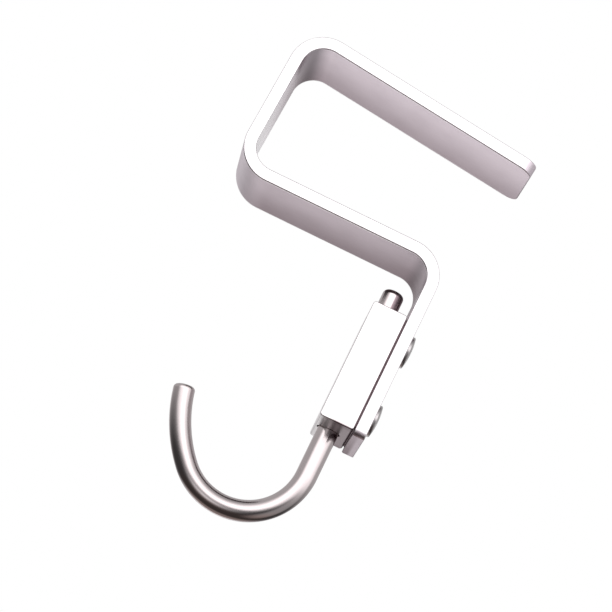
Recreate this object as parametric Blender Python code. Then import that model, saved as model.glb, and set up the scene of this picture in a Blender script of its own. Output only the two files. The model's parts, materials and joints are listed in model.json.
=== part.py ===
"""Desk bag hook: a flat bar bent to grip a desk top, and a J-shaped hook that swivels in a block on its leg.

Metres. The origin is the middle of the lower arm's upper face, where the desk's underside bears.
+X points to the clamp's open end, +Z up, and Y runs across the bar.
"""

import math

import bmesh
import bpy
from mathutils import Vector

# Clearances shared by the pieces
SEAT_GAP = 0.0003
RUNNING_GAP = 0.0003
CUT_OVERRUN = 0.002

# Flat bar
BAR_WIDTH = 0.025
BAR_THICKNESS = 0.003
BAR_EDGE_RADIUS = 0.0003
BEND_INSIDE_RADIUS = 0.0057
LOWER_ARM_SPAN = 0.050
CLAMP_HEIGHT = 0.0335
TOP_ARM_LENGTH = 0.0604
LEG_LENGTH = 0.0481
TOP_ARM_DROOP = math.radians(6.3)
SPINE_LEAN = math.radians(2.7)
ARM_CORNER_RADIUS = 0.0035
LEG_CORNER_RADIUS = 0.0015

# Swivel block
BLOCK_HEIGHT = 0.030
BLOCK_THICKNESS = 0.0085
BLOCK_BELOW_ARM = 0.0143
BLOCK_CORNER_RADIUS = 0.0007
BLOCK_EDGE_RADIUS = 0.0003
BORE_FROM_FREE_FACE = 0.0036
BORE_CHAMFER = 0.0002

# Hook rod
ROD_DIAMETER = 0.0052
ROD_ABOVE_BLOCK = 0.0071
ROD_TOP_RADIUS = 0.0013
ROD_TIP_RADIUS = 0.0010
SHANK_BELOW_BLOCK = 0.0117
HOOK_BEND_RADIUS = 0.015
HOOK_BEND_ANGLE = math.radians(137)
TIP_BEND_RADIUS = 0.0345
TIP_BEND_ANGLE = math.radians(31.7)
GROOVE_DEPTH = 0.0009

# Screws
SCREW_FROM_BLOCK_TOP = 0.0048
SCREW_SPACING = 0.0183
HEAD_DIAMETER = 0.008
HEAD_HEIGHT = 0.0012
HEAD_RIM_HEIGHT = 0.0004
SHANK_DIAMETER = 0.004
DOG_DIAMETER = 0.0022
SOCKET_WIDTH = 0.0025
SOCKET_DEPTH = 0.0014

# Facets
ROUND_SIDES = 32
BEND_STEP = math.radians(6)
CORNER_STEPS = 5
EDGE_STEPS = 2
DOME_STEPS = 6

# Places that follow from the sizes
LEG_INNER_X = LOWER_ARM_SPAN / 2
LEG_OUTER_X = LEG_INNER_X + BAR_THICKNESS
BLOCK_FREE_X = LEG_INNER_X - SEAT_GAP - BLOCK_THICKNESS
BLOCK_MIDDLE_X = BLOCK_FREE_X + BLOCK_THICKNESS / 2
BLOCK_TOP_Z = -BAR_THICKNESS - BLOCK_BELOW_ARM
BLOCK_BOTTOM_Z = BLOCK_TOP_Z - BLOCK_HEIGHT
BLOCK_MIDDLE_Z = (BLOCK_TOP_Z + BLOCK_BOTTOM_Z) / 2
ROD_RADIUS = ROD_DIAMETER / 2
ROD_X = BLOCK_FREE_X + BORE_FROM_FREE_FACE
ROD_TOP_Z = BLOCK_TOP_Z + ROD_ABOVE_BLOCK
GROOVE_RADIUS = ROD_RADIUS - GROOVE_DEPTH
GROOVE_HALF_WIDTH = DOG_DIAMETER / 2 + RUNNING_GAP
BORE_RADIUS = ROD_RADIUS + RUNNING_GAP
SCREW_HOLE_RADIUS = SHANK_DIAMETER / 2 + RUNNING_GAP
UPPER_SCREW_Z = BLOCK_TOP_Z - SCREW_FROM_BLOCK_TOP
LOWER_SCREW_Z = UPPER_SCREW_Z - SCREW_SPACING

ACROSS = Vector((0, 1, 0))


def metal(name, colour, roughness):
    material = bpy.data.materials.new(name)
    material.use_nodes = True
    shader = material.node_tree.nodes["Principled BSDF"]
    shader.inputs["Base Color"].default_value = (*colour, 1)
    shader.inputs["Metallic"].default_value = 1
    shader.inputs["Roughness"].default_value = roughness
    return material


class BentLine:
    """A line in the XZ plane made of straights and round bends, read by the distance along it."""

    def __init__(self, start, heading):
        self.end = Vector(start)
        self.heading = Vector(heading).normalized()
        self.runs = []
        self.length = 0

    def side(self, heading):
        return Vector((-heading.z, 0, heading.x))

    def straight(self, length):
        self.runs.append((self.length, length, self.end.copy(), self.heading.copy(), 0))
        self.end += self.heading * length
        self.length += length

    def bend(self, radius, angle):
        """Turns towards the line's own side for a positive angle, seen from the front."""
        curvature = math.copysign(1 / radius, angle)
        length = radius * abs(angle)
        self.runs.append((self.length, length, self.end.copy(), self.heading.copy(), curvature))
        self.end, self.heading = self.along(self.runs[-1], length)
        self.length += length

    def along(self, run, distance):
        _, _, start, heading, curvature = run
        if curvature == 0:
            return start + heading * distance, heading.copy()
        angle = curvature * distance
        side = self.side(heading)
        spot = start + (heading * math.sin(angle) + side * (1 - math.cos(angle))) / curvature
        return spot, heading * math.cos(angle) + side * math.sin(angle)

    def at(self, distance):
        run = [run for run in self.runs if run[0] <= distance or run is self.runs[0]][-1]
        return self.along(run, distance - run[0])

    def marks(self):
        """The distances where a sweep needs a section: the ends of each run, and steps through each bend."""
        found = {0, self.length}
        for begin, length, _, _, curvature in self.runs:
            steps = max(1, round(abs(curvature) * length / BEND_STEP))
            found |= {begin + length * step / steps for step in range(steps + 1)}
        return found


def line_through(corners, radius):
    """A bent line from the first corner to the last, with a bend of that radius at each corner between."""
    legs = [after - before for before, after in zip(corners, corners[1:])]
    line = BentLine(corners[0], legs[0])
    used = 0
    for leg, following in zip(legs, legs[1:]):
        here, ahead = leg.normalized(), following.normalized()
        turn = math.atan2(line.side(here).dot(ahead), here.dot(ahead))
        tangent = radius * math.tan(abs(turn) / 2)
        line.straight(leg.length - used - tangent)
        line.bend(radius, turn)
        used = tangent
    line.straight(legs[-1].length - used)
    return line


def crossing(point, direction, other_point, other_direction):
    """Where two lines in the XZ plane cross."""
    gap = other_point - point
    cross = direction.x * other_direction.z - direction.z * other_direction.x
    return point + direction * ((gap.x * other_direction.z - gap.z * other_direction.x) / cross)


def drawn_in(distance, radius):
    """How far a rounded end has drawn in, at that distance from its tip."""
    if distance >= radius:
        return 0
    return radius - math.sqrt(radius**2 - (radius - distance) ** 2)


def rounding_marks(radius, steps):
    """Distances from a tip that follow a quarter circle evenly."""
    return [radius * (1 - math.cos(math.pi / 2 * step / steps)) for step in range(steps + 1)]


def rounded_rectangle(width, height, radius, steps):
    points = []
    for quarter in range(4):
        for step in range(steps + 1):
            angle = math.pi / 2 * (quarter + step / steps)
            right = 1 if quarter in (0, 3) else -1
            top = 1 if quarter in (0, 1) else -1
            points.append(
                (
                    right * (width / 2 - radius) + radius * math.cos(angle),
                    top * (height / 2 - radius) + radius * math.sin(angle),
                )
            )
    return points


def circle(radius):
    turns = [2 * math.pi * side / ROUND_SIDES for side in range(ROUND_SIDES)]
    return [(radius * math.cos(turn), radius * math.sin(turn)) for turn in turns]


def placed(section, centre, first, second):
    return [centre + first * u + second * v for u, v in section]


def loft(name, rings, origin, material):
    """One closed solid skinned over the rings, with its object's origin at that point."""
    mesh = bmesh.new()
    origin = Vector(origin)
    loops = [[mesh.verts.new(point - origin) for point in ring] for ring in rings]
    for loop, following in zip(loops, loops[1:]):
        for index, vertex in enumerate(loop):
            before = index - 1
            mesh.faces.new((loop[before], vertex, following[index], following[before]))
    mesh.faces.new(loops[0])
    mesh.faces.new(loops[-1])
    bmesh.ops.recalc_face_normals(mesh, faces=mesh.faces)
    data = bpy.data.meshes.new(name)
    mesh.to_mesh(data)
    mesh.free()
    data.shade_smooth()
    data.set_sharp_from_angle(angle=math.radians(30))
    if material:
        data.materials.append(material)
    obj = bpy.data.objects.new(name, data)
    obj.location = origin
    bpy.context.scene.collection.objects.link(obj)
    return obj


def turned(name, start, direction, stations, origin, material, section=circle):
    """A turned solid: each station is a distance along the direction and the radius there."""
    start, direction = Vector(start), Vector(direction).normalized()
    first = direction.orthogonal().normalized()
    second = direction.cross(first)
    rings = [
        placed(section(radius), start + direction * distance, first, second)
        for distance, radius in stations
    ]
    return loft(name, rings, origin, material)


def cut(target, cutter):
    cutter.hide_render = True
    cutter.display_type = "WIRE"
    modifier = target.modifiers.new(cutter.name, "BOOLEAN")
    modifier.operation = "DIFFERENCE"
    modifier.object = cutter


def screw_holes(target, name, begin_x, end_x):
    """Drills the two screw holes along X between those places."""
    for height, label in ((UPPER_SCREW_Z, "upper"), (LOWER_SCREW_Z, "lower")):
        start = Vector((begin_x, 0, height))
        stations = [(0, SCREW_HOLE_RADIUS), (end_x - begin_x, SCREW_HOLE_RADIUS)]
        cut(target, turned(f"{name}_{label}_hole", start, (1, 0, 0), stations, start, None))


def bar_line():
    """The bar's middle line, from the tip of the top arm to the end of the leg."""
    half = BAR_THICKNESS / 2
    spine = Vector((math.sin(SPINE_LEAN), 0, math.cos(SPINE_LEAN)))
    arm = Vector((math.cos(TOP_ARM_DROOP), 0, -math.sin(TOP_ARM_DROOP)))
    inner_corner = Vector((-LOWER_ARM_SPAN / 2, 0, 0))
    upper_corner = inner_corner + spine * CLAMP_HEIGHT
    behind_spine = Vector((-spine.z, 0, spine.x))
    above_arm = Vector((-arm.z, 0, arm.x))
    spine_point = inner_corner + behind_spine * half
    arm_point = upper_corner + above_arm * half
    level = Vector((1, 0, 0))
    lower_point = Vector((0, 0, -half))
    corners = [
        arm_point + arm * TOP_ARM_LENGTH,
        crossing(arm_point, arm, spine_point, spine),
        crossing(lower_point, level, spine_point, spine),
        Vector((LEG_INNER_X + half, 0, -half)),
        Vector((LEG_INNER_X + half, 0, -LEG_LENGTH)),
    ]
    return line_through(corners, BEND_INSIDE_RADIUS + half)


def clamp_strip(material):
    line = bar_line()
    edge = min(BAR_EDGE_RADIUS, BAR_THICKNESS / 4)
    marks = line.marks()
    for radius, steps in ((edge, EDGE_STEPS), (ARM_CORNER_RADIUS, CORNER_STEPS)):
        marks |= set(rounding_marks(radius, steps))
    for radius, steps in ((edge, EDGE_STEPS), (LEG_CORNER_RADIUS, CORNER_STEPS)):
        marks |= {line.length - mark for mark in rounding_marks(radius, steps)}
    rings = []
    for mark in sorted(marks):
        spot, heading = line.at(mark)
        left = line.length - mark
        narrower = drawn_in(mark, ARM_CORNER_RADIUS) + drawn_in(left, LEG_CORNER_RADIUS)
        thinner = drawn_in(mark, edge) + drawn_in(left, edge)
        section = rounded_rectangle(
            BAR_WIDTH - 2 * narrower, BAR_THICKNESS - 2 * thinner, edge, EDGE_STEPS
        )
        rings.append(placed(section, spot, ACROSS, line.side(heading)))
    strip = loft("clamp_strip", rings, (0, 0, 0), material)
    screw_holes(strip, "strip", LEG_INNER_X - CUT_OVERRUN, LEG_OUTER_X + CUT_OVERRUN)
    return strip


def swivel_block(material):
    edge = min(BLOCK_EDGE_RADIUS, BLOCK_THICKNESS / 4)
    marks = set(rounding_marks(edge, EDGE_STEPS))
    marks |= {BAR_WIDTH - mark for mark in marks}
    middle = Vector((BLOCK_MIDDLE_X, 0, BLOCK_MIDDLE_Z))
    rings = []
    for mark in sorted(marks):
        inset = drawn_in(mark, edge) + drawn_in(BAR_WIDTH - mark, edge)
        section = rounded_rectangle(
            BLOCK_THICKNESS - 2 * inset,
            BLOCK_HEIGHT - 2 * inset,
            BLOCK_CORNER_RADIUS - inset,
            CORNER_STEPS,
        )
        centre = middle + ACROSS * (mark - BAR_WIDTH / 2)
        rings.append(placed(section, centre, Vector((1, 0, 0)), Vector((0, 0, 1))))
    block = loft("swivel_block", rings, middle, material)

    mouth = BORE_RADIUS + BORE_CHAMFER + CUT_OVERRUN
    start = Vector((ROD_X, 0, BLOCK_BOTTOM_Z - CUT_OVERRUN))
    bore = [
        (0, mouth),
        (CUT_OVERRUN + BORE_CHAMFER, BORE_RADIUS),
        (CUT_OVERRUN + BLOCK_HEIGHT - BORE_CHAMFER, BORE_RADIUS),
        (BLOCK_HEIGHT + 2 * CUT_OVERRUN, mouth),
    ]
    cut(block, turned("block_bore", start, (0, 0, 1), bore, start, None))
    screw_holes(block, "block", ROD_X, LEG_INNER_X)
    return block


def hook_rod(material):
    line = BentLine((ROD_X, 0, ROD_TOP_Z), (0, 0, -1))
    line.straight(ROD_TOP_Z - BLOCK_BOTTOM_Z + SHANK_BELOW_BLOCK)
    line.bend(HOOK_BEND_RADIUS, -HOOK_BEND_ANGLE)
    line.bend(TIP_BEND_RADIUS, -TIP_BEND_ANGLE)

    stations = [(mark, ROD_RADIUS) for mark in line.marks()]
    stations += [(mark, ROD_RADIUS) for mark in rounding_marks(ROD_TOP_RADIUS, CORNER_STEPS)]
    stations += [
        (line.length - mark, ROD_RADIUS) for mark in rounding_marks(ROD_TIP_RADIUS, CORNER_STEPS)
    ]
    stations = sorted(set(stations))
    for height in (UPPER_SCREW_Z, LOWER_SCREW_Z):
        middle = ROD_TOP_Z - height
        above, below = middle - GROOVE_HALF_WIDTH, middle + GROOVE_HALF_WIDTH
        place = sum(mark < middle for mark, _ in stations)
        stations[place:place] = [
            (above, ROD_RADIUS),
            (above, GROOVE_RADIUS),
            (below, GROOVE_RADIUS),
            (below, ROD_RADIUS),
        ]
    rings = []
    for mark, radius in stations:
        spot, heading = line.at(mark)
        rounded = drawn_in(mark, ROD_TOP_RADIUS) + drawn_in(line.length - mark, ROD_TIP_RADIUS)
        rings.append(placed(circle(radius - rounded), spot, ACROSS, line.side(heading)))
    return loft("hook_rod", rings, (ROD_X, 0, BLOCK_MIDDLE_Z), material)


def hexagon(radius):
    corners = [2 * math.pi * corner / 6 for corner in range(6)]
    return [(radius * math.cos(turn), radius * math.sin(turn)) for turn in corners]


def dome_stations():
    """The screw head's domed top: distances from its highest point, and the radii there."""
    radius = HEAD_DIAMETER / 2
    rise = HEAD_HEIGHT - min(HEAD_RIM_HEIGHT, HEAD_HEIGHT / 2)
    sphere = (radius**2 + rise**2) / (2 * rise)
    rings = [radius * step / DOME_STEPS for step in range(1, DOME_STEPS + 1)]
    return [(sphere - math.sqrt(sphere**2 - ring**2), ring) for ring in rings]


def screw(name, height, material):
    """A domed screw along X, from the top of its head to the dog point in the rod's groove."""
    head_top = LEG_OUTER_X + SEAT_GAP + HEAD_HEIGHT
    shank_end = ROD_X + ROD_RADIUS + RUNNING_GAP
    dog_end = ROD_X + GROOVE_RADIUS + RUNNING_GAP
    start = Vector((head_top, 0, height))
    stations = dome_stations() + [
        (HEAD_HEIGHT, HEAD_DIAMETER / 2),
        (HEAD_HEIGHT, SHANK_DIAMETER / 2),
        (head_top - shank_end, SHANK_DIAMETER / 2),
        (head_top - shank_end, DOG_DIAMETER / 2),
        (head_top - dog_end, DOG_DIAMETER / 2),
    ]
    piece = turned(name, start, (-1, 0, 0), stations, start, material)
    corner_radius = SOCKET_WIDTH / math.sqrt(3)
    mouth = start + Vector((CUT_OVERRUN, 0, 0))
    depth = [(0, corner_radius), (CUT_OVERRUN + SOCKET_DEPTH, corner_radius)]
    cut(piece, turned(f"{name}_socket", mouth, (-1, 0, 0), depth, mouth, None, hexagon))
    return piece


def main():
    for obj in list(bpy.data.objects):
        bpy.data.objects.remove(obj)
    clamp_strip(metal("satin_steel", (0.68, 0.66, 0.68), 0.38))
    swivel_block(metal("satin_block", (0.74, 0.73, 0.74), 0.32))
    hook_rod(metal("polished_steel", (0.62, 0.58, 0.57), 0.12))
    screw_metal = metal("screw_steel", (0.55, 0.53, 0.53), 0.25)
    screw("upper_screw", UPPER_SCREW_Z, screw_metal)
    screw("lower_screw", LOWER_SCREW_Z, screw_metal)


main()
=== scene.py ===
"""The finished look of the desk bag hook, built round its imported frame.

Everything is in metres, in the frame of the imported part: +X to the clamp's open end, +Z up.
"""

import json
import math

import bmesh
import bpy
from bpy.props import FloatProperty, FloatVectorProperty, IntProperty, PointerProperty
from bpy.types import Operator, Panel, PropertyGroup
from mathutils import Euler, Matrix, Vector


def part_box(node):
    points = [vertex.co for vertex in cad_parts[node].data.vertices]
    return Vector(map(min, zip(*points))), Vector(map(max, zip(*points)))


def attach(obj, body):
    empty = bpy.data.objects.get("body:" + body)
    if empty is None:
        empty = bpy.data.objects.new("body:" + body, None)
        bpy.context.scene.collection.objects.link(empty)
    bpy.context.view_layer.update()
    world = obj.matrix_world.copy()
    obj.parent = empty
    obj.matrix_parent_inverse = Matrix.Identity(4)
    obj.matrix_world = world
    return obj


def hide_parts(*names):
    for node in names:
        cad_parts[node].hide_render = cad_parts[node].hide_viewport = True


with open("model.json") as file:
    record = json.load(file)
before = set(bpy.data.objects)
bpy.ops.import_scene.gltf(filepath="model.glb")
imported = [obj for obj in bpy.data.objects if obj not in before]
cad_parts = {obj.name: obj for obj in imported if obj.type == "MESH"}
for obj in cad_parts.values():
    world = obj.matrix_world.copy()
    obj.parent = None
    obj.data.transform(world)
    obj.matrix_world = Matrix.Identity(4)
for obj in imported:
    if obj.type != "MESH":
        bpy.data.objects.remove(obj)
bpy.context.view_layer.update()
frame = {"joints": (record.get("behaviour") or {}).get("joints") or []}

bl_info = {
    "name": "Desk Bag Hook",
    "version": (1, 0, 0),
    "blender": (4, 5, 0),
    "location": "View3D > Sidebar > Bag Hook",
    "description": "Builds the bent strip, swivel block, hook rod and screws of a desk bag hook",
    "category": "Add Mesh",
}

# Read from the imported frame
STRIP_LOW, STRIP_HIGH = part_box("clamp_strip")
BLOCK_LOW, BLOCK_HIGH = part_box("swivel_block")
ROD_LOW, ROD_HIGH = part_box("hook_rod")
HEADS = {name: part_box(name) for name in ("upper_screw", "lower_screw")}
SCREW_HEIGHTS = {name: (low.z + high.z) / 2 for name, (low, high) in HEADS.items()}
SWIVEL_AXIS = Vector(frame["joints"][0]["pos_m"])

ACROSS = Vector((0, 1, 0))
FORWARD = Vector((1, 0, 0))
UP = Vector((0, 0, 1))
CUT_OVERRUN = 0.002
CONTACT_GAP = 0.00002
HOLE_CLEARANCE = 0.0003
DRILL_LENGTH = 0.010

# Fineness of the meshes
TURN_STEP = math.radians(2)
STRIDE = 0.002
STRIP_EDGE_STEPS = 5
STRIP_CORNER_STEPS = 8
BLOCK_EDGE_STEPS = 6
BLOCK_CORNER_STEPS = 8
BORE_LIP_STEPS = 5
ROD_END_STEPS = 12
DOME_STEPS = 16
RIM_STEPS = 8
HOLE_SIDES = 48
BORE_SIDES = 96
HEAD_SIDES = 72
FLOOR_SQUARES = 8
SHARP_ANGLE = math.radians(35)
FLAT_NORMAL_WEIGHT = 50

# Colours in the finishes: a painted shade, the worn edges' colour and two painted highlights
# The painted shade's colour, laid on the bar and the block where shade would fall
PAINTED_SHADE = (0.13, 0.062, 0.08, 1)
WORN_EDGE = (0.98, 0.96, 0.97, 1)
# Colour of the painted highlight on the spine's inner face
PAINTED_SPINE_HIGHLIGHT = (0.98, 0.97, 0.98, 1)
# Colour of the painted highlights on the block's corners and on its foot's free side
PAINTED_BLOCK_HIGHLIGHT = (0.98, 0.97, 0.97, 1)

# Noise scales, in features per metre. The bar, the rod and the screws have theirs along, across
# and through the piece as if it were straight, the block and the floor along X, Y and Z.
BAR_GRAIN = (160, 7000, 7000)
BAR_STREAKS = (45, 1800, 1800)
BAR_CLOUD = (130, 130, 130)
BLOCK_GRAIN = (6000, 300, 6000)
BLOCK_CLOUD = (220, 220, 220)
ROD_LINES = (90, 5000, 5000)
ROD_CLOUD = (180, 180, 180)
ROD_WAVES = (120, 420, 420)
HEAD_CLOUD = (500, 500, 500)
HEAD_RINGS = 9000
FLOOR_CLOUD = (3, 3, 3)
FLOOR_GRAIN = (900, 900, 900)

# Heights of the fine relief
BAR_RELIEF = 0.000004
BLOCK_RELIEF = 0.000003
ROD_RELIEF = 0.00003
HEAD_RELIEF = 0.000004
FLOOR_RELIEF = 0.0001

# Where the bar's painted shade and painted highlight lie. Each patch: how far its middle lies
# past the middle of its bend, and its reach.
FACE_CHANGE = (-0.0005, 0.0005)
UNDERSIDE_CHANGE = 0.008
# How far across the bar the painted shade towards its far side grows
DARKEST_ACROSS = 0.016
# The spine and leg patches hold painted shade inside the first and last bends
SPINE_PATCH = (0.007, 0.010)
LEG_PATCH = (0.004, 0.012)
# Where the painted highlight on the spine's inner face lies, just before the second bend
SPINE_HIGHLIGHT_PATCH = (-0.006, 0.012)
SEAT_BORDER = 0.0002
FACE_BORDER = 0.0001

# Where the block's painted shade and painted highlights lie: the bore's border right of the
# block's middle, the others in from its faces
FOOT_BORDER = (0.0006, 0.0001)
BORE_BORDER = (-0.0020, 0.0008)
LEG_BORDER = 0.0003
RIM_BORDER = (0.0008, 0.0040)
CORNER_BORDER = (0.0003, 0.0009)

# The room that the metal mirrors. Its lights are a function of the direction of a ray.
FLOOR_GLOW = 0.05
WALL_GLOW = 0.54
WINDOW_GLOW = 1.4
WALL_RISE = (-0.45, 0.20)
CEILING_RISE = (0.8, 1.0)
TINT_RISE = (-0.8, -0.45)
FRONT_END = (-0.5, -0.2)
REAR_START = (0.0, 0.4)
FLOOR_TINT = (1.0, 0.82, 0.77, 1)
ROOM_TINT = (1.0, 0.98, 0.99, 1)
WHITE = (1, 1, 1, 1)
# Each soft border of the window in front: a direction, where the light begins and where it is full
WINDOW_BORDERS = (
    ((0.643, -0.766, 0), -0.26, 0.30),
    ((-0.208, -0.978, 0), -0.22, 0.26),
    ((0, 0, 1), -0.22, 0.28),
    ((0, 0, -1), -0.95, -0.40),
)
WINDOW_DIM_CORNER = ((0.76, -0.20, 0.61), 0.70, 1.0)
# Each broad light: its strength, its direction, where it begins and where it is full
BROAD_LIGHTS = (
    (0.24, (-0.05, 0.66, -0.75), 0.78, 0.95),
    (0.30, (0.80, -0.30, -0.45), 0.75, 0.95),
)
# Each soft spot: its strength, its middle and its reach, both as x and z of the direction
FRONT_SPOTS = ((0.9, (-0.17, -0.42), (0.25, 0.21)),)
REAR_SPOTS = (
    (1.2, (0.05, 0.24), (0.14, 0.12)),
    (0.42, (-0.36, 0.0), (0.24, 0.20)),
    (0.5, (0.18, -0.14), (0.10, 0.12)),
    (1.08, (-0.05, -0.42), (0.34, 0.16)),
)

FLOOR_REACH = 6
KEY_SIDE = (-0.45, -0.8, 1.3)
IMAGE_WIDTH = 612
SENSOR_WIDTH = 36
NEAREST_SEEN = 0.01


class StripSizes(PropertyGroup):
    width: FloatProperty(
        name="Width",
        description="Width of the flat bar",
        default=STRIP_HIGH.y - STRIP_LOW.y,
        unit="LENGTH",
    )
    thickness: FloatProperty(
        name="Thickness", description="Thickness of the flat bar", default=0.003, unit="LENGTH"
    )
    lower_arm: FloatProperty(
        name="Lower Arm",
        description="Distance along the lower arm between the spine and the leg",
        default=0.050,
        unit="LENGTH",
    )
    height: FloatProperty(
        name="Clamp Height",
        description="Length of the spine between the two arms",
        default=0.0335,
        unit="LENGTH",
    )
    top_arm: FloatProperty(
        name="Top Arm",
        description="Length of the top arm from the spine's corner",
        default=0.0604,
        unit="LENGTH",
    )
    leg: FloatProperty(
        name="Leg",
        description="How far the leg's end lies below the lower arm's upper face",
        default=0.0481,
        unit="LENGTH",
    )
    droop: FloatProperty(
        name="Top Arm Droop",
        description="How far the top arm points down towards its tip",
        default=math.radians(6.3),
        subtype="ANGLE",
    )
    lean: FloatProperty(
        name="Spine Lean",
        description="How far the spine leans towards the open end",
        default=math.radians(2.7),
        subtype="ANGLE",
    )
    bend_radius: FloatProperty(
        name="Bend Radius", description="Inside radius of the bends", default=0.0057, unit="LENGTH"
    )
    edge_radius: FloatProperty(
        name="Edge Radius",
        description="Rounding along the bar's edges",
        default=0.0003,
        unit="LENGTH",
    )
    arm_corner: FloatProperty(
        name="Arm Corner Radius",
        description="Rounding of the top arm's two corners",
        default=0.0035,
        unit="LENGTH",
    )
    leg_corner: FloatProperty(
        name="Leg Corner Radius",
        description="Rounding of the leg's two corners",
        default=0.0015,
        unit="LENGTH",
    )
    colour: FloatVectorProperty(
        name="Colour",
        description="Base colour of the satin steel",
        default=(0.86, 0.775, 0.835),
        subtype="COLOR",
        min=0,
        max=1,
    )


class BlockSizes(PropertyGroup):
    corner_radius: FloatProperty(
        name="Corner Radius",
        description="Rounding of the four long corners",
        default=0.0007,
        unit="LENGTH",
    )
    edge_radius: FloatProperty(
        name="Edge Radius",
        description="Rounding round the near and far faces",
        default=0.0003,
        unit="LENGTH",
    )
    pad_inset: FloatProperty(
        name="Pad Inset",
        description="How far the raised seat on the leg's side lies inside the block's edges",
        default=0.0007,
        unit="LENGTH",
    )
    bore_radius: FloatProperty(
        name="Bore Radius",
        description="Radius of the bore that the rod turns in",
        default=0.0029,
        unit="LENGTH",
    )
    bore_lip: FloatProperty(
        name="Bore Lip",
        description="Rounding of the bore's two mouths",
        default=0.0002,
        unit="LENGTH",
    )
    colour: FloatVectorProperty(
        name="Colour",
        description="Base colour of the block's plating",
        default=(0.86, 0.81, 0.82),
        subtype="COLOR",
        min=0,
        max=1,
    )


class RodSizes(PropertyGroup):
    shank: FloatProperty(
        name="Shank",
        description="Straight length below the block",
        default=0.0117,
        unit="LENGTH",
    )
    bend_radius: FloatProperty(
        name="Hook Radius",
        description="Radius of the hook's round part at the rod's middle",
        default=0.015,
        unit="LENGTH",
    )
    bend_angle: FloatProperty(
        name="Hook Angle",
        description="How far the round part turns",
        default=math.radians(137),
        subtype="ANGLE",
    )
    tip_radius: FloatProperty(
        name="Tip Bend Radius",
        description="Radius of the slower bend towards the tip",
        default=0.0345,
        unit="LENGTH",
    )
    tip_angle: FloatProperty(
        name="Tip Bend Angle",
        description="How far the slower bend turns",
        default=math.radians(31.7),
        subtype="ANGLE",
    )
    top_rounding: FloatProperty(
        name="Knob Rounding",
        description="Rounding of the end that stands out above the block",
        default=0.0013,
        unit="LENGTH",
    )
    tip_rounding: FloatProperty(
        name="Tip Rounding",
        description="Rounding of the hook's tip",
        default=0.0010,
        unit="LENGTH",
    )
    groove_radius: FloatProperty(
        name="Groove Radius",
        description="Radius at the bottom of the two ring grooves that the screws hold",
        default=0.0017,
        unit="LENGTH",
    )
    groove_width: FloatProperty(
        name="Groove Width",
        description="Width of each ring groove along the rod",
        default=0.0028,
        unit="LENGTH",
    )
    sides: IntProperty(
        name="Sides", description="Facets round the rod", default=96, min=24, max=256
    )
    colour: FloatVectorProperty(
        name="Colour",
        description="Base colour of the polished steel",
        default=(0.65, 0.59, 0.59),
        subtype="COLOR",
        min=0,
        max=1,
    )


class ScrewSizes(PropertyGroup):
    dome_height: FloatProperty(
        name="Dome Height",
        description="Rise of the head's dome above its rim",
        default=0.0005,
        unit="LENGTH",
    )
    rim_radius: FloatProperty(
        name="Rim Radius", description="Rounding of the head's rim", default=0.0004, unit="LENGTH"
    )
    shank_radius: FloatProperty(
        name="Shank Radius", description="Radius of the shank", default=0.002, unit="LENGTH"
    )
    dog_radius: FloatProperty(
        name="Dog Point Radius",
        description="Radius of the plain point that runs in the rod's groove",
        default=0.0011,
        unit="LENGTH",
    )
    socket_width: FloatProperty(
        name="Socket Width",
        description="Width across the hexagon socket's flats",
        default=0.0025,
        unit="LENGTH",
    )
    socket_depth: FloatProperty(
        name="Socket Depth",
        description="Depth of the hexagon socket",
        default=0.0014,
        unit="LENGTH",
    )
    colour: FloatVectorProperty(
        name="Colour",
        description="Base colour of the screws",
        default=(0.55, 0.53, 0.53),
        subtype="COLOR",
        min=0,
        max=1,
    )


class StageSettings(PropertyGroup):
    camera_place: FloatVectorProperty(
        name="Camera Place",
        description="Where the camera stands",
        default=(0.01122, -0.65735, -0.18809),
        subtype="TRANSLATION",
    )
    camera_turn: FloatVectorProperty(
        name="Camera Turn",
        description="How the camera is turned",
        default=tuple(map(math.radians, (105.66209, -25.32821, -6.07871))),
        subtype="EULER",
    )
    lens: FloatProperty(
        name="Lens", description="Focal length in millimetres", default=169.576, min=1
    )
    floor_drop: FloatProperty(
        name="Floor Drop",
        description="How far the floor lies below the lower arm",
        default=0.60,
        unit="LENGTH",
    )
    floor_colour: FloatVectorProperty(
        name="Floor Colour",
        description="Colour of the floor's matt paint",
        default=(0.86, 0.86, 0.86),
        subtype="COLOR",
        min=0,
        max=1,
    )
    light: FloatProperty(
        name="Light", description="Strength of the room's light", default=1.0, min=0
    )
    key: FloatProperty(
        name="Key Light", description="Strength of the lamp over the floor", default=2.2, min=0
    )
    key_spread: FloatProperty(
        name="Key Spread",
        description="How wide the lamp over the floor is",
        default=math.radians(35),
        subtype="ANGLE",
    )


class BagHook(PropertyGroup):
    strip: PointerProperty(type=StripSizes, name="Strip", description="The bent flat bar")
    block: PointerProperty(type=BlockSizes, name="Block", description="The swivel block")
    rod: PointerProperty(type=RodSizes, name="Rod", description="The hook rod")
    screw: PointerProperty(type=ScrewSizes, name="Screws", description="The two screws")
    stage: PointerProperty(type=StageSettings, name="Stage", description="Floor, light and camera")


class Value:
    """A number that a shader works out, written into formulas like a plain one."""

    def __init__(self, shader, socket):
        self.shader = shader
        self.socket = socket

    def other(self, output):
        return Value(self.shader, self.socket.node.outputs[output])

    def math(self, operation, *terms):
        return self.shader.node("Math", {"operation": operation}, dict(enumerate(terms)))

    def __add__(self, other):
        return self.math("ADD", self, other)

    def __radd__(self, other):
        return self.math("ADD", other, self)

    def __sub__(self, other):
        return self.math("SUBTRACT", self, other)

    def __rsub__(self, other):
        return self.math("SUBTRACT", other, self)

    def __mul__(self, other):
        return self.math("MULTIPLY", self, other)

    def __rmul__(self, other):
        return self.math("MULTIPLY", other, self)

    def __truediv__(self, other):
        return self.math("DIVIDE", self, other)

    def __pow__(self, other):
        return self.math("POWER", self, other)

    def __abs__(self):
        return self.math("ABSOLUTE", self)


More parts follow.
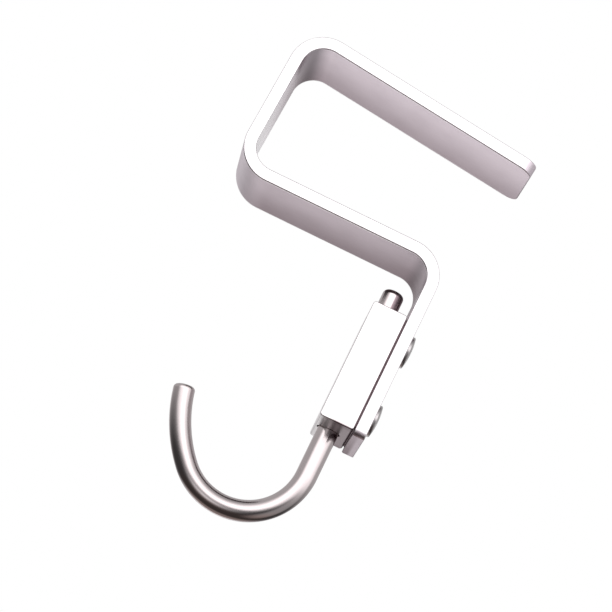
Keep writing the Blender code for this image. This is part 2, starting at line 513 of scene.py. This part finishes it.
class Shader:
    """The node tree of a material or of the world."""

    def __init__(self, owner):
        owner.use_nodes = True
        self.tree = owner.node_tree
        self.tree.nodes.clear()

    def node(self, kind, settings=None, sockets=None, output=0):
        """Adds a node, makes its settings, fills its sockets, and returns one of its outputs."""
        made = self.tree.nodes.new("ShaderNode" + kind)
        for name, setting in (settings or {}).items():
            setattr(made, name, setting)
        for name, filling in (sockets or {}).items():
            if isinstance(filling, Value):
                self.tree.links.new(filling.socket, made.inputs[name])
            else:
                made.inputs[name].default_value = filling
        return Value(self, made.outputs[output]) if made.outputs else None

    def straightened(self):
        """The place that each point would have if its piece were straight."""
        return self.node("Attribute", {"attribute_name": "straight"}, output="Vector")

    def parts(self, vector):
        x = self.node("SeparateXYZ", None, {0: vector})
        return x, x.other("Y"), x.other("Z")

    def smooth(self, value, low, high):
        """0 below low, 1 above high, and a smooth rise between them."""
        settings = {"interpolation_type": "SMOOTHSTEP"}
        sockets = {"Value": value, "From Min": low, "From Max": high}
        return self.node("MapRange", settings, sockets)

    def toward(self, vector, direction):
        """How far the vector reaches in that direction."""
        sockets = {0: vector, 1: direction}
        return self.node("VectorMath", {"operation": "DOT_PRODUCT"}, sockets, output="Value")

    def patch(self, value, middle, reach):
        """1 at the middle and about a third at its reach, fading softly beyond."""
        offset = (value - middle) / reach
        return offset.math("EXPONENT", -1 * (offset * offset))

    def spot(self, x, y, middle, reach):
        return self.patch(x, middle[0], reach[0]) * self.patch(y, middle[1], reach[1])

    def scaled(self, vector, scale):
        return self.node("VectorMath", {"operation": "MULTIPLY"}, {0: vector, 1: scale})

    def noise(self, vector, scale, detail=2, roughness=0.5, offset=0):
        sockets = {"Vector": self.scaled(vector, scale), "Scale": 1, "Detail": detail}
        sockets |= {"Roughness": roughness, "W": offset}
        return self.node("TexNoise", {"noise_dimensions": "4D"}, sockets)

    def mixed(self, share, first, second):
        sockets = {0: share, 6: first, 7: second}
        return self.node("Mix", {"data_type": "RGBA"}, sockets, output=2)

    def bump(self, height, distance):
        return self.node("Bump", None, {"Height": height, "Distance": distance})

    def metal(self, colour, roughness, normal):
        sockets = {"Base Color": colour, "Metallic": 1.0, "Roughness": roughness, "Normal": normal}
        surface = self.node("BsdfPrincipled", None, sockets)
        self.node("OutputMaterial", None, {"Surface": surface})


def opaque(colour, shade=1.0):
    return (*(channel * shade for channel in colour), 1)


def either(first, second):
    """Two shares laid over each other: 0 where both are 0, and 1 where either is 1."""
    return 1 - (1 - first) * (1 - second)


class BentLine:
    """A line made of straights and round bends in one plane, read by the distance along it."""

    def __init__(self, start, heading, across):
        self.end = Vector(start)
        self.heading = Vector(heading).normalized()
        self.across = across
        self.runs = []
        self.length = 0

    def side(self, heading):
        return heading.cross(self.across)

    def straight(self, length):
        self.runs.append((self.length, length, self.end.copy(), self.heading.copy(), 0))
        self.end += self.heading * length
        self.length += length
        return self

    def bend(self, radius, angle):
        """Turns towards the line's side for a positive angle."""
        curvature = math.copysign(1 / radius, angle)
        length = radius * abs(angle)
        self.runs.append((self.length, length, self.end.copy(), self.heading.copy(), curvature))
        self.end, self.heading = self.along(self.runs[-1], length)
        self.length += length
        return self

    def along(self, run, distance):
        _, _, start, heading, curvature = run
        if curvature == 0:
            return start + heading * distance, heading.copy()
        angle = curvature * distance
        side = self.side(heading)
        spot = start + (heading * math.sin(angle) + side * (1 - math.cos(angle))) / curvature
        return spot, heading * math.cos(angle) + side * math.sin(angle)

    def at(self, distance):
        run = [run for run in self.runs if run[0] <= distance or run is self.runs[0]][-1]
        return self.along(run, distance - run[0])

    def marks(self, turn, stride):
        """Distances for sections: a step for each turn of that angle and for each stride."""
        found = {0, self.length}
        for begin, length, _, _, curvature in self.runs:
            steps = max(1, round(abs(curvature) * length / turn), round(length / stride))
            found |= {begin + length * step / steps for step in range(steps + 1)}
        return found


def line_through(corners, radius):
    """A bent line from the first corner to the last, bent at each corner between."""
    legs = [after - before for before, after in zip(corners, corners[1:])]
    line = BentLine(corners[0], legs[0], ACROSS)
    used = 0
    for leg, following in zip(legs, legs[1:]):
        here, ahead = leg.normalized(), following.normalized()
        turn = math.atan2(line.side(here).dot(ahead), here.dot(ahead))
        tangent = radius * math.tan(abs(turn) / 2)
        line.straight(leg.length - used - tangent)
        line.bend(radius, turn)
        used = tangent
    return line.straight(legs[-1].length - used)


def crossing(point, direction, other_point, other_direction):
    """Where two lines in the XZ plane cross."""
    gap = other_point - point
    cross = direction.x * other_direction.z - direction.z * other_direction.x
    return point + direction * ((gap.x * other_direction.z - gap.z * other_direction.x) / cross)


def drawn_in(distance, radius):
    """How far a rounded end has drawn in, at that distance from its tip."""
    if distance >= radius:
        return 0
    return radius - math.sqrt(max(0, radius**2 - (radius - distance) ** 2))


def rounding_marks(radius, steps):
    """Distances from a tip that follow a quarter circle evenly."""
    return [radius * (1 - math.cos(math.pi / 2 * step / steps)) for step in range(steps + 1)]


def rounded_rectangle(width, height, radius, steps):
    points = []
    for quarter in range(4):
        for step in range(steps + 1):
            angle = math.pi / 2 * (quarter + step / steps)
            right = 1 if quarter in (0, 3) else -1
            top = 1 if quarter in (0, 1) else -1
            across = right * (width / 2 - radius) + radius * math.cos(angle)
            through = top * (height / 2 - radius) + radius * math.sin(angle)
            points.append((across, through))
    return points


def polygon(radius, sides):
    turns = [2 * math.pi * side / sides for side in range(sides)]
    return [(radius * math.cos(turn), radius * math.sin(turn)) for turn in turns]


def swept(name, line, stations):
    """A closed solid through its stations, each a distance along the line and a section there.

    Every point also keeps the place that it would have if the line were straight, for the grain.
    """
    mesh = bmesh.new()
    straight = mesh.verts.layers.float_vector.new("straight")
    loops = []
    for distance, section in stations:
        spot, heading = line.at(distance)
        side = line.side(heading)
        loop = []
        for across, through in section:
            vertex = mesh.verts.new(spot + line.across * across + side * through)
            vertex[straight] = (distance, across, through)
            loop.append(vertex)
        loops.append(loop)
    for loop, following in zip(loops, loops[1:]):
        for index, vertex in enumerate(loop):
            before = index - 1
            mesh.faces.new((loop[before], vertex, following[index], following[before]))
    mesh.faces.new(loops[0])
    mesh.faces.new(loops[-1])
    bmesh.ops.recalc_face_normals(mesh, faces=mesh.faces)
    data = bpy.data.meshes.new(name)
    mesh.to_mesh(data)
    mesh.free()
    obj = bpy.data.objects.new(name, data)
    bpy.context.scene.collection.objects.link(obj)
    return obj


def prism(name, start, heading, length, section):
    """A closed solid with that section all along, straight on from its start."""
    line = BentLine(start, heading, ACROSS).straight(length)
    return swept(name, line, [(0, section), (length, section)])


def screw_holes(shank_radius, start_x):
    """Cutters for both screws' holes, drilled from that X towards the leg's outer face."""
    section = polygon(shank_radius + HOLE_CLEARANCE, HOLE_SIDES)
    starts = {name: Vector((start_x, 0, height)) for name, height in SCREW_HEIGHTS.items()}
    return [
        prism(f"{name}_hole", start, FORWARD, DRILL_LENGTH, section)
        for name, start in starts.items()
    ]


def cut(piece, cutters, operation="DIFFERENCE"):
    """Cuts the cutters out of the piece, or joins them to it, and removes them."""
    for cutter in cutters:
        modifier = piece.modifiers.new(cutter.name, "BOOLEAN")
        modifier.operation = operation
        modifier.object = cutter
    graph = bpy.context.evaluated_depsgraph_get()
    whole = piece.data
    piece.data = bpy.data.meshes.new_from_object(piece.evaluated_get(graph))
    piece.modifiers.clear()
    for spare in [cutter.data for cutter in cutters] + [whole]:
        bpy.data.meshes.remove(spare)


def finished(piece, body, node, material):
    """Shades the piece, gives it its material and puts it in its node's place."""
    piece.data.shade_smooth()
    piece.data.set_sharp_from_angle(angle=SHARP_ANGLE)
    weighting = piece.modifiers.new("flat_faces", "WEIGHTED_NORMAL")
    weighting.weight = FLAT_NORMAL_WEIGHT
    weighting.keep_sharp = True
    piece.data.materials.clear()
    piece.data.materials.append(material)
    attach(piece, body)
    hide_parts(node)


def satin_steel(sizes, line):
    """Bar stock with a fine grain along its length, worn bright along its edges.

    It has painted shade towards its far side, most of all under its arms and inside its first
    and last bends, and it is darker at its ends. A painted highlight brightens the spine's inner
    face by the second bend, and painted shade darkens the seat of the block.
    """
    material = bpy.data.materials.new("satin_steel_finish")
    shader = Shader(material)
    straight = shader.straightened()
    along, across, through = shader.parts(straight)
    grain = shader.noise(straight, BAR_GRAIN, detail=3)
    streaks = shader.noise(straight, BAR_STREAKS, detail=3, offset=4)
    cloud = shader.noise(straight, BAR_CLOUD, detail=4, roughness=0.6, offset=9)

    half_width, half_thickness, edge = sizes.width / 2, sizes.thickness / 2, sizes.edge_radius
    bends = [begin + length / 2 for begin, length, _, _, curvature in line.runs if curvature]
    past_spine = shader.smooth(along, bends[1], bends[1] + UNDERSIDE_CHANGE)
    inside = shader.smooth(through, *FACE_CHANGE)
    # Painted shade: darker towards the bar's far side
    far = shader.smooth(across, -half_width, DARKEST_ACROSS)

    # Patches for painted shade inside the first and last bends, and one at the spine's foot
    first, desk, last = (
        shader.patch(along, bend + middle, reach)
        for bend, (middle, reach) in zip(bends, (SPINE_PATCH, SPINE_HIGHLIGHT_PATCH, LEG_PATCH))
    )
    # Painted shade inside the first bend, on the top arm's underside and the spine's inner face
    spine_painted_shade = (0.16 + 0.34 * far) * inside * first
    # Painted shade under the lower arm and on the leg, deepest inside the last bend
    leg_painted_shade = (0.26 + 0.20 * far) * (1 - inside) * past_spine * (1 + 0.8 * last)
    from_leg_end = line.length - along
    # The two end faces are darker
    ends = 1 - shader.smooth(along, 0, edge) * shader.smooth(from_leg_end, 0, edge)
    shown = inside * (1 - past_spine) + (1 - inside) * past_spine
    # All of the bar's painted shade, strongest under the arms towards the far side, and the darker
    # ends
    painted_shade_and_dark_ends = either(spine_painted_shade + leg_painted_shade + 0.25 * ends, (0.10 + 0.46 * shown) * far)

    # Painted highlight on the spine's inner face by the second bend, standing in for light from the
    # lower arm
    painted_spine_highlight = inside * desk
    seat_top = line.length - sizes.leg - BLOCK_HIGH.z
    # Painted shade on the leg's face where the block sits, seen in the gap between the two
    seat = shader.smooth(along, seat_top - SEAT_BORDER, seat_top + SEAT_BORDER)
    seat = seat * (1 - shader.smooth(through, -half_thickness, FACE_BORDER - half_thickness))
    # Painted shade of the bends and far side, less under the spine's painted highlight, and of the
    # seat
    dark = either(painted_shade_and_dark_ends * (1 - painted_spine_highlight), 0.9 * seat)

    from_edge = half_width - abs(across) + half_thickness - abs(through)
    worn = 1 - shader.smooth(from_edge, edge, 3 * edge)
    worn = worn * (0.6 + 0.8 * shader.smooth(streaks, 0.35, 0.65))
    flank = 0.8 * shader.smooth(abs(across), half_width - FACE_BORDER, half_width)
    worn = either(worn, flank) * (1 - seat)

    streaked = shader.mixed(streaks, opaque(sizes.colour, 0.92), opaque(sizes.colour, 1.06))
    clouds = 0.4 * shader.smooth(cloud, 0.35, 0.75)
    clouded = shader.mixed(clouds, streaked, opaque(sizes.colour, 0.9))
    # Lays the painted shade's colour over the steel
    shaded = shader.mixed(dark, clouded, PAINTED_SHADE)
    # Lays the painted highlight over the spine's inner face
    painted_highlights = shader.mixed(painted_spine_highlight, shaded, PAINTED_SPINE_HIGHLIGHT)
    colour = shader.mixed(0.7 * worn, painted_highlights, WORN_EDGE)
    roughness = 0.28 + 0.12 * streaks + 0.06 * cloud - 0.06 * worn
    shader.metal(colour, roughness, shader.bump(grain + 0.6 * streaks, BAR_RELIEF))
    return material


def plated_block(sizes, middle, size):
    """Ground faces under bright satin plating, with painted shade by the leg and at the bore's
    foot.

    Painted highlights brighten its four long corners and its foot on the free side of the bore.
    """
    material = bpy.data.materials.new("satin_block_finish")
    shader = Shader(material)
    place = shader.node("TexCoord", output="Object")
    x, y, z = shader.parts(place)
    right, down = x - middle.x, middle.z - z
    from_flank = size.y / 2 - abs(y)
    grain = shader.noise(place, BLOCK_GRAIN, detail=3)
    cloud = shader.noise(place, BLOCK_CLOUD, detail=4, roughness=0.6, offset=3)

    foot = shader.smooth(down, *(size.z / 2 - border for border in FOOT_BORDER))
    bore_side = shader.smooth(right + 0.001 * cloud, *BORE_BORDER)
    leg_side = shader.smooth(right, size.x / 2 - LEG_BORDER, size.x / 2)
    rim = 1 - shader.smooth(from_flank, *RIM_BORDER)
    # Painted shade on the foot round and right of the bore's mouth, and on the face against the leg
    painted_block_shade = either((0.76 + 0.12 * rim) * foot * bore_side, 0.9 * leg_side)
    corners = 1 - shader.smooth(size.x / 2 - abs(right) + from_flank, *CORNER_BORDER)
    # Painted highlights along the four long corners and on the foot left of the bore
    painted_highlights = either(corners, foot * (1 - bore_side))

    plating = shader.mixed(cloud, opaque(sizes.colour, 0.94), opaque(sizes.colour, 1.05))
    # Lays the painted highlights over the plating
    bright = shader.mixed(0.8 * painted_highlights, plating, PAINTED_BLOCK_HIGHLIGHT)
    # Lays the painted shade's colour over the plating
    colour = shader.mixed(painted_block_shade, bright, PAINTED_SHADE)
    roughness = 0.24 + 0.07 * cloud + 0.05 * grain + 0.2 * leg_side
    shader.metal(colour, roughness, shader.bump(grain, BLOCK_RELIEF))
    return material


def polished_steel(sizes):
    """Polished rod with the faint lines of its drawing, slight waves and a few rubbed patches."""
    material = bpy.data.materials.new("polished_steel_finish")
    shader = Shader(material)
    straight = shader.straightened()
    lines = shader.noise(straight, ROD_LINES, detail=3)
    cloud = shader.noise(straight, ROD_CLOUD, detail=4, roughness=0.6, offset=5)
    waves = shader.noise(straight, ROD_WAVES, detail=2, offset=8)
    colour = shader.mixed(cloud, opaque(sizes.colour, 0.93), opaque(sizes.colour, 1.05))
    roughness = 0.12 + 0.05 * cloud + 0.04 * lines
    shader.metal(colour, roughness, shader.bump(waves + 0.03 * lines, ROD_RELIEF))
    return material


def turned_steel(sizes):
    """Screw heads with the rings of the lathe."""
    material = bpy.data.materials.new("turned_steel_finish")
    shader = Shader(material)
    straight = shader.straightened()
    _, across, through = shader.parts(straight)
    radius = (across * across + through * through) ** 0.5
    rings = shader.node("TexNoise", {"noise_dimensions": "1D"}, {"W": radius, "Scale": HEAD_RINGS})
    cloud = shader.noise(straight, HEAD_CLOUD, detail=3, offset=2)
    colour = shader.mixed(cloud, opaque(sizes.colour, 0.88), opaque(sizes.colour, 1.06))
    roughness = 0.20 + 0.06 * cloud + 0.06 * rings
    shader.metal(colour, roughness, shader.bump(rings, HEAD_RELIEF))
    return material


class BAG_HOOK_OT_strip(Operator):
    """Bends the flat bar into its two arms, spine and leg"""

    bl_idname = "bag_hook.strip"
    bl_label = "Bent Strip"

    def execute(self, context):
        sizes = context.scene.bag_hook.strip
        line = self.middle_line(sizes)
        marks = line.marks(TURN_STEP, STRIDE)
        for rounding in (sizes.edge_radius, sizes.arm_corner):
            marks |= set(rounding_marks(rounding, STRIP_CORNER_STEPS))
        for rounding in (sizes.edge_radius, sizes.leg_corner):
            ending = rounding_marks(rounding, STRIP_CORNER_STEPS)
            marks |= {line.length - mark for mark in ending}
        stations = [(mark, self.section(sizes, mark, line.length - mark)) for mark in sorted(marks)]
        strip = swept("bent_strip", line, stations)
        shank_radius = context.scene.bag_hook.screw.shank_radius
        cut(strip, screw_holes(shank_radius, BLOCK_HIGH.x - CUT_OVERRUN))
        self.lay_leg(strip.data, line, sizes)
        finished(strip, "clamp", "clamp_strip", satin_steel(sizes, line))
        return {"FINISHED"}

    def lay_leg(self, mesh, line, sizes):
        """Gives the points round the screw holes their places along the straight bar too."""
        leg_x = (sizes.lower_arm + sizes.thickness) / 2
        for vertex, place in zip(mesh.vertices, mesh.attributes["straight"].data):
            if vertex.co.z < BLOCK_HIGH.z:
                distance = line.length - sizes.leg - vertex.co.z
                place.vector = (distance, vertex.co.y, vertex.co.x - leg_x)

    def middle_line(self, sizes):
        half = sizes.thickness / 2
        spine = Vector((math.sin(sizes.lean), 0, math.cos(sizes.lean)))
        arm = Vector((math.cos(sizes.droop), 0, -math.sin(sizes.droop)))
        inner_corner = Vector((-sizes.lower_arm / 2, 0, 0))
        upper_corner = inner_corner + spine * sizes.height
        spine_point = inner_corner + Vector((-spine.z, 0, spine.x)) * half
        arm_point = upper_corner + Vector((-arm.z, 0, arm.x)) * half
        lower_point = Vector((0, 0, -half))
        leg_x = sizes.lower_arm / 2 + half
        corners = [
            arm_point + arm * sizes.top_arm,
            crossing(arm_point, arm, spine_point, spine),
            crossing(lower_point, FORWARD, spine_point, spine),
            Vector((leg_x, 0, -half)),
            Vector((leg_x, 0, -sizes.leg)),
        ]
        return line_through(corners, sizes.bend_radius + half)

    def section(self, sizes, from_arm_end, from_leg_end):
        narrower = drawn_in(from_arm_end, sizes.arm_corner)
        narrower += drawn_in(from_leg_end, sizes.leg_corner)
        thinner = drawn_in(from_arm_end, sizes.edge_radius)
        thinner += drawn_in(from_leg_end, sizes.edge_radius)
        return rounded_rectangle(
            sizes.width - 2 * narrower,
            sizes.thickness - 2 * thinner,
            sizes.edge_radius,
            STRIP_EDGE_STEPS,
        )


class BAG_HOOK_OT_block(Operator):
    """Makes the block on the leg, with its bore and two screw holes"""

    bl_idname = "bag_hook.block"
    bl_label = "Swivel Block"

    def execute(self, context):
        sizes = context.scene.bag_hook.block
        size = BLOCK_HIGH - BLOCK_LOW
        middle = (BLOCK_HIGH + BLOCK_LOW) / 2
        near = Vector((middle.x, BLOCK_LOW.y, middle.z))
        line = BentLine(near, ACROSS, FORWARD).straight(size.y)
        marks = set(rounding_marks(sizes.edge_radius, BLOCK_EDGE_STEPS))
        marks |= {size.y - mark for mark in marks}
        stations = []
        for mark in sorted(marks):
            inset = drawn_in(mark, sizes.edge_radius) + drawn_in(size.y - mark, sizes.edge_radius)
            outline = (size.x - 2 * inset, size.z - 2 * inset, sizes.corner_radius - inset)
            stations.append((mark, rounded_rectangle(*outline, BLOCK_CORNER_STEPS)))
        block = swept("swivel_block_body", line, stations)

        seat = context.scene.bag_hook.strip.lower_arm / 2 - CONTACT_GAP
        outline = (size.y - 2 * sizes.pad_inset, size.z - 2 * sizes.pad_inset, sizes.corner_radius)
        pad_section = rounded_rectangle(*outline, BLOCK_CORNER_STEPS)
        pad = prism("block_pad", middle, FORWARD, seat - middle.x, pad_section)
        cut(block, [pad], "UNION")

        axis = Vector((SWIVEL_AXIS.x, 0, BLOCK_LOW.z - CUT_OVERRUN))
        bore = BentLine(axis, UP, ACROSS).straight(size.z + 2 * CUT_OVERRUN)
        mouth = []
        for mark in rounding_marks(sizes.bore_lip, BORE_LIP_STEPS):
            flare = drawn_in(mark, sizes.bore_lip)
            mouth.append((mark, polygon(sizes.bore_radius + flare, BORE_SIDES)))
        wide = mouth[0][1]
        lower = [(0, wide)] + [(CUT_OVERRUN + mark, section) for mark, section in mouth]
        upper = [(bore.length - mark, section) for mark, section in reversed(lower)]
        cutters = [swept("block_bore", bore, lower + upper)]
        cutters += screw_holes(context.scene.bag_hook.screw.shank_radius, SWIVEL_AXIS.x)
        cut(block, cutters)
        finished(block, "clamp", "swivel_block", plated_block(sizes, middle, size))
        return {"FINISHED"}


class BAG_HOOK_OT_rod(Operator):
    """Bends the polished rod into its hook"""

    bl_idname = "bag_hook.rod"
    bl_label = "Hook Rod"

    def execute(self, context):
        sizes = context.scene.bag_hook.rod
        radius = (ROD_HIGH.y - ROD_LOW.y) / 2
        line = BentLine((SWIVEL_AXIS.x, 0, ROD_HIGH.z), -UP, ACROSS)
        line.straight(ROD_HIGH.z - BLOCK_LOW.z + sizes.shank)
        line.bend(sizes.bend_radius, -sizes.bend_angle)
        line.bend(sizes.tip_radius, -sizes.tip_angle)
        marks = line.marks(TURN_STEP, STRIDE)
        marks |= set(rounding_marks(sizes.top_rounding, ROD_END_STEPS))
        marks |= {line.length - mark for mark in rounding_marks(sizes.tip_rounding, ROD_END_STEPS)}
        rings = [(mark, radius) for mark in marks]
        for height in SCREW_HEIGHTS.values():
            middle = ROD_HIGH.z - height
            above, below = middle - sizes.groove_width / 2, middle + sizes.groove_width / 2
            rings = [ring for ring in rings if not above <= ring[0] <= below]
            rings += [(above, radius), (above, sizes.groove_radius)]
            rings += [(below, sizes.groove_radius), (below, radius)]
        rings.sort(key=lambda ring: ring[0])
        stations = []
        for mark, ring_radius in rings:
            rounded = drawn_in(mark, sizes.top_rounding)
            rounded += drawn_in(line.length - mark, sizes.tip_rounding)
            stations.append((mark, polygon(ring_radius - rounded, sizes.sides)))
        rod = swept("polished_hook", line, stations)
        finished(rod, "hook", "hook_rod", polished_steel(sizes))
        return {"FINISHED"}


class BAG_HOOK_OT_screws(Operator):
    """Makes the two low-head screws that hold the block"""

    bl_idname = "bag_hook.screws"
    bl_label = "Screws"

    def execute(self, context):
        sizes = context.scene.bag_hook.screw
        steel = turned_steel(sizes)
        for name, (low, high) in HEADS.items():
            start = Vector((high.x, 0, SCREW_HEIGHTS[name]))
            length = high.x - low.x
            line = BentLine(start, -FORWARD, ACROSS).straight(length)
            radius = (high.z - low.z) / 2
            strip = context.scene.bag_hook.strip
            seat = high.x - strip.lower_arm / 2 - strip.thickness - CONTACT_GAP
            shank_end = high.x - SWIVEL_AXIS.x - context.scene.bag_hook.block.bore_radius
            stations = self.dome(sizes, radius) + [
                (seat, radius),
                (seat, sizes.shank_radius),
                (shank_end, sizes.shank_radius),
                (shank_end, sizes.dog_radius),
                (length, sizes.dog_radius),
            ]
            sections = [(mark, polygon(size, HEAD_SIDES)) for mark, size in stations]
            piece = swept(f"{name}_turned", line, sections)
            outside = start + FORWARD * CUT_OVERRUN
            depth = CUT_OVERRUN + sizes.socket_depth
            hexagon = polygon(sizes.socket_width / math.sqrt(3), 6)
            cut(piece, [prism(f"{name}_socket", outside, -FORWARD, depth, hexagon)])
            finished(piece, "clamp", name, steel)
        return {"FINISHED"}

    def dome(self, sizes, radius):
        """Distances from the head's highest point and the radii there, down to its rounded rim."""
        rise, rim = sizes.dome_height, sizes.rim_radius
        sphere = (radius**2 + rise**2) / (2 * rise)
        slope = math.asin((radius - rim) / (sphere - rim))
        stations = []
        for step in range(1, DOME_STEPS + 1):
            turn = slope * step / DOME_STEPS
            stations.append((sphere * (1 - math.cos(turn)), sphere * math.sin(turn)))
        centre = sphere - (sphere - rim) * math.cos(slope)
        for step in range(1, RIM_STEPS + 1):
            turn = slope + (math.pi / 2 - slope) * step / RIM_STEPS
            stations.append((centre - rim * math.cos(turn), radius - rim + rim * math.sin(turn)))
        return stations


class BAG_HOOK_OT_stage(Operator):
    """Sets the floor, the soft light and the camera"""

    bl_idname = "bag_hook.stage"
    bl_label = "Stage"

    def execute(self, context):
        settings = context.scene.bag_hook.stage
        self.lay_floor(settings)
        self.light_room(context.scene, settings)
        self.set_camera(context.scene, settings)
        context.scene.view_settings.view_transform = "Standard"
        return {"FINISHED"}

    def lay_floor(self, settings):
        mesh = bmesh.new()
        squares = {"x_segments": FLOOR_SQUARES, "y_segments": FLOOR_SQUARES}
        bmesh.ops.create_grid(mesh, **squares, size=FLOOR_REACH)
        data = bpy.data.meshes.new("floor")
        mesh.to_mesh(data)
        mesh.free()
        floor = bpy.data.objects.new("floor", data)
        floor.location.z = -settings.floor_drop
        floor.visible_glossy = False
        bpy.context.scene.collection.objects.link(floor)
        material = bpy.data.materials.new("matt_paint")
        shader = Shader(material)
        place = shader.node("TexCoord", output="Object")
        cloud = shader.noise(place, FLOOR_CLOUD, detail=3)
        pale = opaque(settings.floor_colour)
        colour = shader.mixed(cloud, pale, opaque(settings.floor_colour, 0.98))
        normal = shader.bump(shader.noise(place, FLOOR_GRAIN), FLOOR_RELIEF)
        sockets = {"Base Color": colour, "Roughness": 0.8, "Normal": normal}
        surface = shader.node("BsdfPrincipled", None, sockets)
        shader.node("OutputMaterial", None, {"Surface": surface})
        data.materials.append(material)

    def light_room(self, scene, settings):
        """Lights the metal with a plain room and the floor with one lamp."""
        world = bpy.data.worlds.new("studio")
        scene.world = world
        shader = Shader(world)
        way = shader.node("TexCoord", output="Generated")
        x, y, z = shader.parts(way)
        walls = FLOOR_GLOW + (WALL_GLOW - FLOOR_GLOW) * shader.smooth(z, *WALL_RISE)
        glow = walls * (1 - 0.2 * shader.smooth(z, *CEILING_RISE))
        for strength, direction, begin, full in BROAD_LIGHTS:
            glow = glow + strength * shader.smooth(shader.toward(way, direction), begin, full)
        front, rear = 1 - shader.smooth(y, *FRONT_END), shader.smooth(y, *REAR_START)
        for half, spots in ((front, FRONT_SPOTS), (rear, REAR_SPOTS)):
            for strength, middle, reach in spots:
                glow = glow + strength * half * shader.spot(x, z, middle, reach)
        glow = glow + WINDOW_GLOW * self.window(shader, way)
        tint = shader.mixed(shader.smooth(z, *TINT_RISE), FLOOR_TINT, ROOM_TINT)
        seen = shader.node("Background", None, {"Color": WHITE, "Strength": 1.0})
        lit = shader.node("Background", None, {"Color": tint, "Strength": glow * settings.light})
        camera_ray = shader.node("LightPath", output="Is Camera Ray")
        both = shader.node("MixShader", None, {0: camera_ray, 1: lit, 2: seen})
        shader.node("OutputWorld", None, {"Surface": both})

        light = bpy.data.lights.new("key", "SUN")
        light.energy = settings.key
        light.angle = settings.key_spread
        lamp = bpy.data.objects.new("key", light)
        lamp.visible_glossy = False
        lamp.rotation_euler = Vector(KEY_SIDE).to_track_quat("Z", "Y").to_euler()
        scene.collection.objects.link(lamp)

    def window(self, shader, way):
        """1 inside the window's soft borders, and less towards its upper right corner."""
        direction, begin, full = WINDOW_DIM_CORNER
        share = 1 - 0.6 * shader.smooth(shader.toward(way, direction), begin, full)
        for direction, begin, full in WINDOW_BORDERS:
            share = share * shader.smooth(shader.toward(way, direction), begin, full)
        return share

    def set_camera(self, scene, settings):
        camera = bpy.data.cameras.new("camera")
        camera.sensor_width = SENSOR_WIDTH
        camera.lens = settings.lens
        half_pixel = 0.5 / IMAGE_WIDTH
        camera.shift_x, camera.shift_y = -half_pixel, half_pixel
        camera.clip_start = NEAREST_SEEN
        obj = bpy.data.objects.new("camera", camera)
        obj.location = settings.camera_place
        obj.rotation_euler = Euler(settings.camera_turn, "XYZ")
        scene.collection.objects.link(obj)
        scene.camera = obj


class VIEW3D_PT_bag_hook(Panel):
    """Lists the pieces of the bag hook"""

    bl_label = "Bag Hook"
    bl_space_type = "VIEW_3D"
    bl_region_type = "UI"
    bl_category = "Bag Hook"

    def draw(self, context):
        for name, operator in PARTS:
            box = self.layout.box()
            box.operator(operator.bl_idname)
            sizes = getattr(context.scene.bag_hook, name)
            for size in sizes.__annotations__:
                box.prop(sizes, size)


PARTS = (
    ("strip", BAG_HOOK_OT_strip),
    ("block", BAG_HOOK_OT_block),
    ("rod", BAG_HOOK_OT_rod),
    ("screw", BAG_HOOK_OT_screws),
    ("stage", BAG_HOOK_OT_stage),
)
GROUPS = (StripSizes, BlockSizes, RodSizes, ScrewSizes, StageSettings, BagHook)
CLASSES = (*GROUPS, *(operator for _, operator in PARTS), VIEW3D_PT_bag_hook)


def register():
    for kind in CLASSES:
        bpy.utils.register_class(kind)
    bpy.types.Scene.bag_hook = PointerProperty(type=BagHook)


def unregister():
    del bpy.types.Scene.bag_hook
    for kind in reversed(CLASSES):
        bpy.utils.unregister_class(kind)


def main():
    register()
    bpy.ops.bag_hook.strip()
    bpy.ops.bag_hook.block()
    bpy.ops.bag_hook.rod()
    bpy.ops.bag_hook.screws()
    bpy.ops.bag_hook.stage()


if __name__ == "__main__":
    main()
